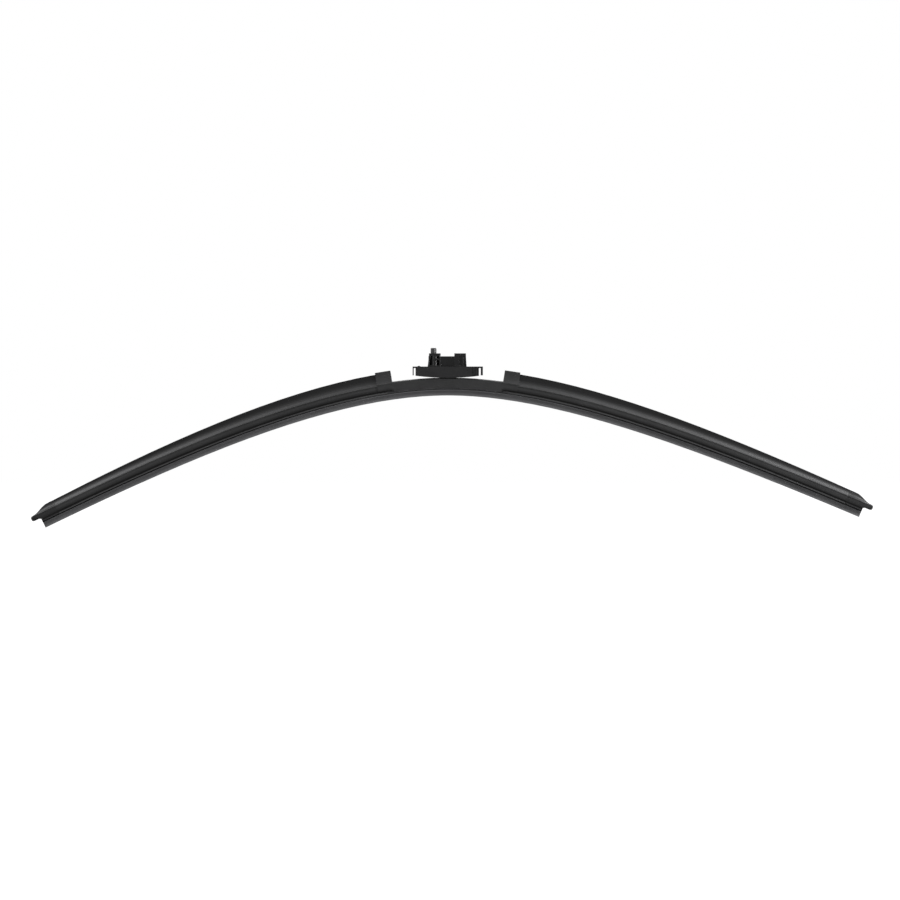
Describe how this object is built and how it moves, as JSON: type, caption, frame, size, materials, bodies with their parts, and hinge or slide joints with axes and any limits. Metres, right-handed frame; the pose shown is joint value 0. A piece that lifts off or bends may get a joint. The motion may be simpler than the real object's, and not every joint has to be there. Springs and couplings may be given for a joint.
{
  "type": "wiper blade",
  "caption": "Flat arched wiper blade with an aerofoil spoiler, a rubber lip on sprung rails, hooded centre cover and a swivelling push-button arm adaptor.",
  "frame": {"origin": "where the wiper arm sits: the middle of the adaptor's top, straight above the pivot", "axes": "+X along the blade, +Y towards the rear of the spoiler (its hollow side faces -Y), +Z away from the glass"},
  "size_m": [0.6381, 0.0174, 0.1361],
  "materials": {
    "rubber": "matt graphite-coated rubber",
    "rail_steel": "black-coated spring steel",
    "spoiler_plastic": "satin black soft moulding",
    "cap_plastic": "satin black moulding",
    "bracket_steel": "black-coated folded sheet",
    "cover_plastic": "fine-grained black moulding",
    "pin_steel": "plated steel",
    "cradle_plastic": "fine-grained black moulding",
    "connector_plastic": "smooth black moulding",
    "button_plastic": "polished black moulding",
    "spring_steel": "bright spring wire"
  },
  "bodies": {
    "adaptor": {"adaptor_cradle": "cradle_plastic", "arm_connector": "connector_plastic", "button_spring": "spring_steel"},
    "lock": {"lock_button": "button_plastic"},
    "blade": {"wiping_rubber": "rubber", "spring_rail_front": "rail_steel", "spring_rail_rear": "rail_steel", "spoiler_left": "spoiler_plastic", "spoiler_right": "spoiler_plastic", "end_cap_left": "cap_plastic", "end_cap_right": "cap_plastic", "holder_bracket": "bracket_steel", "centre_cover": "cover_plastic", "pivot_pin": "pin_steel"}
  },
  "joints": [
    {"name": "blade_swing", "type": "hinge", "parent": "adaptor", "child": "blade", "pos_m": [0, 0, -0.0145], "axis": [0, 1, 0], "range_deg": [-12, 12]},
    {"name": "lock_press", "type": "slide", "parent": "adaptor", "child": "lock", "axis": [0, 0, -1], "range_m": [0, 0.003], "stiffness_N_per_m": 1500, "springref_m": -0.001, "deforming": ["button_spring"]}
  ]
}
